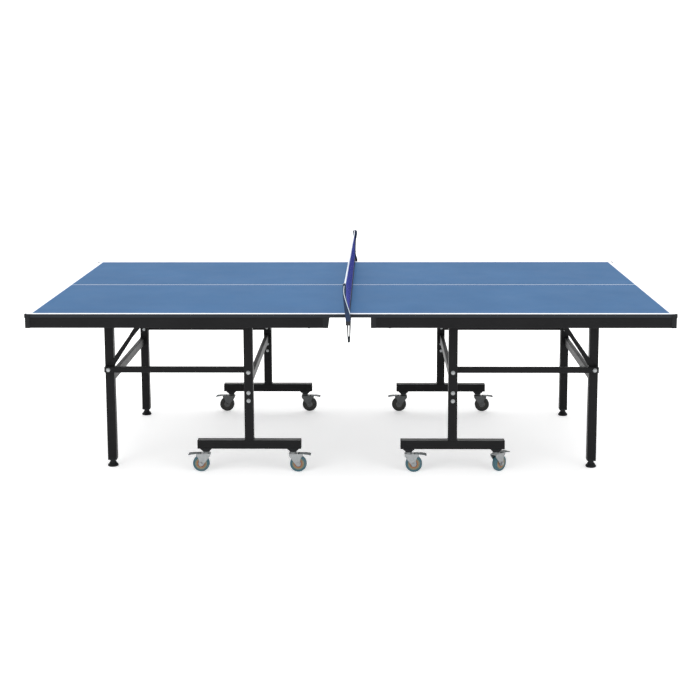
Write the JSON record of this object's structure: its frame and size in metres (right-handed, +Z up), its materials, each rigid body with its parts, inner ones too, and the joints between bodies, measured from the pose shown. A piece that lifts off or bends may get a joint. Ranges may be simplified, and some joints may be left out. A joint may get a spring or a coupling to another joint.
{
  "type": "ping pong table",
  "caption": "Folding ping pong table on wheels in two halves, each with a rolling braked stand, folding legs with levelling feet, stays and a clamped net.",
  "frame": {"origin": "on the floor, under the middle of the net", "axes": "+X along the table towards its right half, +Y across it away from the viewer, +Z up"},
  "size_m": [2.757, 1.8294, 0.914],
  "materials": {
    "playing_surface": "matt blue lacquer with white painted lines",
    "black_steel": "semi-gloss black powder coat",
    "black_plastic": "fine grained moulded black",
    "zinc": "zinc plated, satin",
    "tyre_grey": "grey-teal tread on a beige centre",
    "pedal_plastic": "dark grey moulding",
    "net_fabric": "royal blue mesh with white top tape",
    "post_paint": "gloss navy paint"
  },
  "bodies": {
    "left_stand": {"left_tee_frames": "black_steel", "left_stand_bar": "black_steel", "left_stand_fittings": "black_plastic", "left_stand_bolts": "zinc"},
    "left_table": {"left_board": "playing_surface", "left_table_frame": "black_steel", "left_table_trim": "black_plastic", "left_table_bolts": "zinc", "net_cloth": "net_fabric", "net_posts": "post_paint"},
    "left_legs": {"left_leg_frame": "black_steel", "left_leg_plugs": "black_plastic", "left_knee_bolts": "zinc"},
    "left_links": {"left_link_bars": "black_steel"},
    "left_lower_stays": {"left_stay_bars": "black_steel"},
    "left_upper_stays": {"left_stay_levers": "black_steel"},
    "left_front_leveller": {"left_front_foot": "black_plastic"},
    "left_front_outer_swivel": {"left_front_outer_fork": "zinc"},
    "left_front_outer_roller": {"left_front_outer_wheel": "tyre_grey"},
    "left_front_outer_brake": {"left_front_outer_pedal": "pedal_plastic"},
    "left_front_inner_swivel": {"left_front_inner_fork": "zinc"},
    "left_front_inner_roller": {"left_front_inner_wheel": "tyre_grey"},
    "left_front_inner_brake": {"left_front_inner_pedal": "pedal_plastic"},
    "left_back_leveller": {"left_back_foot": "black_plastic"},
    "left_back_outer_swivel": {"left_back_outer_fork": "zinc"},
    "left_back_outer_roller": {"left_back_outer_wheel": "tyre_grey"},
    "left_back_outer_brake": {"left_back_outer_pedal": "pedal_plastic"},
    "left_back_inner_swivel": {"left_back_inner_fork": "zinc"},
    "left_back_inner_roller": {"left_back_inner_wheel": "tyre_grey"},
    "left_back_inner_brake": {"left_back_inner_pedal": "pedal_plastic"},
    "right_stand": {"right_tee_frames": "black_steel", "right_stand_bar": "black_steel", "right_stand_fittings": "black_plastic", "right_stand_bolts": "zinc"},
    "right_table": {"right_board": "playing_surface", "right_table_frame": "black_steel", "right_table_trim": "black_plastic", "right_table_bolts": "zinc"},
    "right_legs": {"right_leg_frame": "black_steel", "right_leg_plugs": "black_plastic", "right_knee_bolts": "zinc"},
    "right_links": {"right_link_bars": "black_steel"},
    "right_lower_stays": {"right_stay_bars": "black_steel"},
    "right_upper_stays": {"right_stay_levers": "black_steel"},
    "right_front_leveller": {"right_front_foot": "black_plastic"},
    "right_front_outer_swivel": {"right_front_outer_fork": "zinc"},
    "right_front_outer_roller": {"right_front_outer_wheel": "tyre_grey"},
    "right_front_outer_brake": {"right_front_outer_pedal": "pedal_plastic"},
    "right_front_inner_swivel": {"right_front_inner_fork": "zinc"},
    "right_front_inner_roller": {"right_front_inner_wheel": "tyre_grey"},
    "right_front_inner_brake": {"right_front_inner_pedal": "pedal_plastic"},
    "right_back_leveller": {"right_back_foot": "black_plastic"},
    "right_back_outer_swivel": {"right_back_outer_fork": "zinc"},
    "right_back_outer_roller": {"right_back_outer_wheel": "tyre_grey"},
    "right_back_outer_brake": {"right_back_outer_pedal": "pedal_plastic"},
    "right_back_inner_swivel": {"right_back_inner_fork": "zinc"},
    "right_back_inner_roller": {"right_back_inner_wheel": "tyre_grey"},
    "right_back_inner_brake": {"right_back_inner_pedal": "pedal_plastic"},
    "net_front_clamp_lever": {"net_front_lever": "black_plastic"},
    "net_back_clamp_lever": {"net_back_lever": "black_plastic"}
  },
  "joints": [
    {"name": "left_fold", "type": "hinge", "parent": "left_stand", "child": "left_table", "pos_m": [-0.452, 0, 0.7], "axis": [0, 1, 0], "range_deg": [0, 90]},
    {"name": "right_roll", "type": "slide", "parent": "left_stand", "child": "right_stand", "axis": [1, 0, 0], "range_m": [0, 0.5]},
    {"name": "left_leg_fold", "type": "hinge", "parent": "left_table", "child": "left_legs", "pos_m": [-1.083, 0, 0.7], "axis": [0, 1, 0], "range_deg": [-90, 0]},
    {"name": "left_link_swing", "type": "hinge", "parent": "left_stand", "child": "left_links", "pos_m": [-0.452, 0, 0.456], "axis": [0, 1, 0], "range_deg": [0, 90]},
    {"name": "left_lower_stay_turn", "type": "hinge", "parent": "left_legs", "child": "left_lower_stays", "pos_m": [-1.083, 0, 0.456], "axis": [0, 1, 0], "range_deg": [-38, 0]},
    {"name": "left_upper_stay_turn", "type": "hinge", "parent": "left_table", "child": "left_upper_stays", "pos_m": [-0.905, 0, 0.707], "axis": [0, 1, 0], "range_deg": [0, 45]},
    {"name": "left_front_foot_screw", "type": "slide", "parent": "left_legs", "child": "left_front_leveller", "axis": [0, 0, -1], "range_m": [0, 0.015]},
    {"name": "left_front_outer_swivel_turn", "type": "hinge", "parent": "left_stand", "child": "left_front_outer_swivel", "pos_m": [-0.647, -0.5275, 0.09], "axis": [0, 0, 1], "continuous": true},
    {"name": "left_front_outer_wheel_turn", "type": "hinge", "parent": "left_front_outer_swivel", "child": "left_front_outer_roller", "pos_m": [-0.67, -0.5275, 0.0375], "axis": [0, -1, 0], "continuous": true},
    {"name": "left_front_outer_brake_press", "type": "hinge", "parent": "left_front_outer_swivel", "child": "left_front_outer_brake", "pos_m": [-0.685, -0.5275, 0.08], "axis": [0, -1, 0], "range_deg": [0, 14]},
    {"name": "left_front_inner_swivel_turn", "type": "hinge", "parent": "left_stand", "child": "left_front_inner_swivel", "pos_m": [-0.258, -0.5275, 0.09], "axis": [0, 0, 1], "continuous": true},
    {"name": "left_front_inner_wheel_turn", "type": "hinge", "parent": "left_front_inner_swivel", "child": "left_front_inner_roller", "pos_m": [-0.235, -0.5275, 0.0375], "axis": [0, 1, 0], "continuous": true},
    {"name": "left_front_inner_brake_press", "type": "hinge", "parent": "left_front_inner_swivel", "child": "left_front_inner_brake", "pos_m": [-0.22, -0.5275, 0.08], "axis": [0, 1, 0], "range_deg": [0, 14]},
    {"name": "left_back_foot_screw", "type": "slide", "parent": "left_legs", "child": "left_back_leveller", "axis": [0, 0, -1], "range_m": [0, 0.015]},
    {"name": "left_back_outer_swivel_turn", "type": "hinge", "parent": "left_stand", "child": "left_back_outer_swivel", "pos_m": [-0.647, 0.5275, 0.09], "axis": [0, 0, 1], "continuous": true},
    {"name": "left_back_outer_wheel_turn", "type": "hinge", "parent": "left_back_outer_swivel", "child": "left_back_outer_roller", "pos_m": [-0.67, 0.5275, 0.0375], "axis": [0, -1, 0], "continuous": true},
    {"name": "left_back_outer_brake_press", "type": "hinge", "parent": "left_back_outer_swivel", "child": "left_back_outer_brake", "pos_m": [-0.685, 0.5275, 0.08], "axis": [0, -1, 0], "range_deg": [0, 14]},
    {"name": "left_back_inner_swivel_turn", "type": "hinge", "parent": "left_stand", "child": "left_back_inner_swivel", "pos_m": [-0.258, 0.5275, 0.09], "axis": [0, 0, 1], "continuous": true},
    {"name": "left_back_inner_wheel_turn", "type": "hinge", "parent": "left_back_inner_swivel", "child": "left_back_inner_roller", "pos_m": [-0.235, 0.5275, 0.0375], "axis": [0, 1, 0], "continuous": true},
    {"name": "left_back_inner_brake_press", "type": "hinge", "parent": "left_back_inner_swivel", "child": "left_back_inner_brake", "pos_m": [-0.22, 0.5275, 0.08], "axis": [0, 1, 0], "range_deg": [0, 14]},
    {"name": "right_fold", "type": "hinge", "parent": "right_stand", "child": "right_table", "pos_m": [0.452, 0, 0.7], "axis": [0, -1, 0], "range_deg": [0, 90]},
    {"name": "right_leg_fold", "type": "hinge", "parent": "right_table", "child": "right_legs", "pos_m": [1.083, 0, 0.7], "axis": [0, -1, 0], "range_deg": [-90, 0]},
    {"name": "right_link_swing", "type": "hinge", "parent": "right_stand", "child": "right_links", "pos_m": [0.452, 0, 0.456], "axis": [0, -1, 0], "range_deg": [0, 90]},
    {"name": "right_lower_stay_turn", "type": "hinge", "parent": "right_legs", "child": "right_lower_stays", "pos_m": [1.083, 0, 0.456], "axis": [0, -1, 0], "range_deg": [-38, 0]},
    {"name": "right_upper_stay_turn", "type": "hinge", "parent": "right_table", "child": "right_upper_stays", "pos_m": [0.905, 0, 0.707], "axis": [0, -1, 0], "range_deg": [0, 45]},
    {"name": "right_front_foot_screw", "type": "slide", "parent": "right_legs", "child": "right_front_leveller", "axis": [0, 0, -1], "range_m": [0, 0.015]},
    {"name": "right_front_outer_swivel_turn", "type": "hinge", "parent": "right_stand", "child": "right_front_outer_swivel", "pos_m": [0.647, -0.5275, 0.09], "axis": [0, 0, 1], "continuous": true},
    {"name": "right_front_outer_wheel_turn", "type": "hinge", "parent": "right_front_outer_swivel", "child": "right_front_outer_roller", "pos_m": [0.66326, -0.51124, 0.0375], "axis": [-0.7071, 0.7071, 0], "continuous": true},
    {"name": "right_front_outer_brake_press", "type": "hinge", "parent": "right_front_outer_swivel", "child": "right_front_outer_brake", "pos_m": [0.67387, -0.50063, 0.08], "axis": [-0.7071, 0.7071, 0], "range_deg": [0, 14]},
    {"name": "right_front_inner_swivel_turn", "type": "hinge", "parent": "right_stand", "child": "right_front_inner_swivel", "pos_m": [0.258, -0.5275, 0.09], "axis": [0, 0, 1], "continuous": true},
    {"name": "right_front_inner_wheel_turn", "type": "hinge", "parent": "right_front_inner_swivel", "child": "right_front_inner_roller", "pos_m": [0.281, -0.5275, 0.0375], "axis": [0, 1, 0], "continuous": true},
    {"name": "right_front_inner_brake_press", "type": "hinge", "parent": "right_front_inner_swivel", "child": "right_front_inner_brake", "pos_m": [0.296, -0.5275, 0.08], "axis": [0, 1, 0], "range_deg": [0, 14]},
    {"name": "right_back_foot_screw", "type": "slide", "parent": "right_legs", "child": "right_back_leveller", "axis": [0, 0, -1], "range_m": [0, 0.015]},
    {"name": "right_back_outer_swivel_turn", "type": "hinge", "parent": "right_stand", "child": "right_back_outer_swivel", "pos_m": [0.647, 0.5275, 0.09], "axis": [0, 0, 1], "continuous": true},
    {"name": "right_back_outer_wheel_turn", "type": "hinge", "parent": "right_back_outer_swivel", "child": "right_back_outer_roller", "pos_m": [0.67, 0.5275, 0.0375], "axis": [0, 1, 0], "continuous": true},
    {"name": "right_back_outer_brake_press", "type": "hinge", "parent": "right_back_outer_swivel", "child": "right_back_outer_brake", "pos_m": [0.685, 0.5275, 0.08], "axis": [0, 1, 0], "range_deg": [0, 14]},
    {"name": "right_back_inner_swivel_turn", "type": "hinge", "parent": "right_stand", "child": "right_back_inner_swivel", "pos_m": [0.258, 0.5275, 0.09], "axis": [0, 0, 1], "continuous": true},
    {"name": "right_back_inner_wheel_turn", "type": "hinge", "parent": "right_back_inner_swivel", "child": "right_back_inner_roller", "pos_m": [0.235, 0.5275, 0.0375], "axis": [0, -1, 0], "continuous": true},
    {"name": "right_back_inner_brake_press", "type": "hinge", "parent": "right_back_inner_swivel", "child": "right_back_inner_brake", "pos_m": [0.22, 0.5275, 0.08], "axis": [0, -1, 0], "range_deg": [0, 14]},
    {"name": "net_front_lever_turn", "type": "hinge", "parent": "left_table", "child": "net_front_clamp_lever", "pos_m": [-0.0025, -0.7693, 0.7405], "axis": [-1, 0, 0], "range_deg": [0, 25], "stiffness_Nm_per_rad": 1, "springref_deg": -5.73},
    {"name": "net_back_lever_turn", "type": "hinge", "parent": "left_table", "child": "net_back_clamp_lever", "pos_m": [-0.0025, 0.7693, 0.7405], "axis": [1, 0, 0], "range_deg": [0, 25], "stiffness_Nm_per_rad": 1, "springref_deg": -5.73}
  ],
  "couplings": [
    {"joint": "right_roll", "follows": "left_fold", "m_per_rad": 0.3183},
    {"joint": "left_leg_fold", "follows": "left_fold", "ratio": -1},
    {"joint": "left_link_swing", "follows": "left_fold", "ratio": 1},
    {"joint": "left_lower_stay_turn", "follows": "left_fold", "ratio": -0.41833},
    {"joint": "left_upper_stay_turn", "follows": "left_fold", "ratio": 0.49491},
    {"joint": "right_leg_fold", "follows": "right_fold", "ratio": -1},
    {"joint": "right_link_swing", "follows": "right_fold", "ratio": 1},
    {"joint": "right_lower_stay_turn", "follows": "right_fold", "ratio": -0.41833},
    {"joint": "right_upper_stay_turn", "follows": "right_fold", "ratio": 0.49491}
  ]
}
